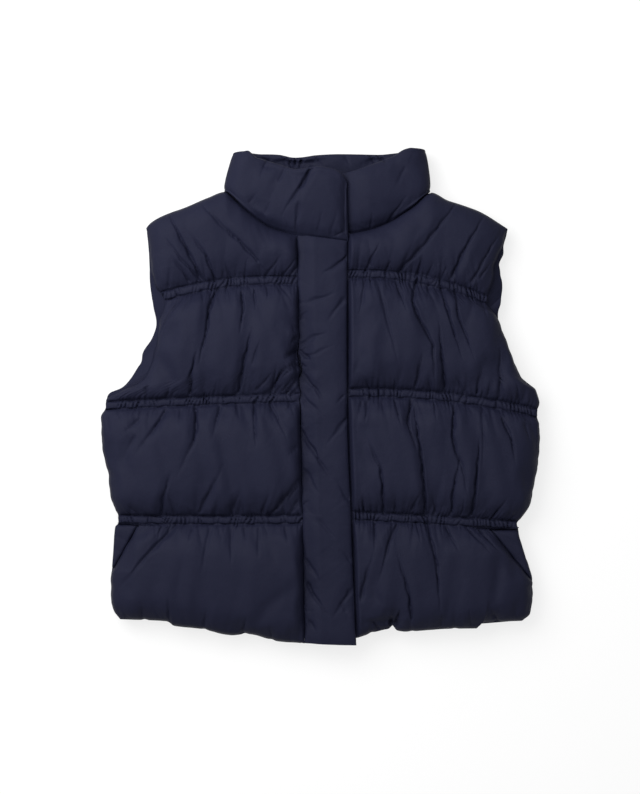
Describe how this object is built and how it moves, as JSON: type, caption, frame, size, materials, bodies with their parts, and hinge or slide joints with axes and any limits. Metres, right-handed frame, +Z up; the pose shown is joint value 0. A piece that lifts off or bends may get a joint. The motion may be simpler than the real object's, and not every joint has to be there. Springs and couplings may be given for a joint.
{
  "type": "padded vest",
  "caption": "Cropped padded vest with a stand collar, gathered quilting bands, a storm flap over the front zip and slanted side pockets, laid flat on its back.",
  "frame": {"origin": "middle of the laid vest's outline, on the surface that it lies on", "axes": "+Y from the hem to the collar, +Z up from the surface out of the fronts, +X towards the wearer's left side"},
  "size_m": [0.546, 0.6208, 0.0534],
  "materials": {
    "shell": "soft satin woven synthetic, navy",
    "pocket": "matt woven synthetic, dark navy",
    "zip": "matt, dark navy"
  },
  "bodies": {
    "root": {"back": "shell", "front_right": "shell", "front_left": "shell", "storm_flap": "shell", "collar": "shell", "pocket_facing_right": "pocket", "pocket_facing_left": "pocket", "zip": "zip"}
  },
  "joints": []
}
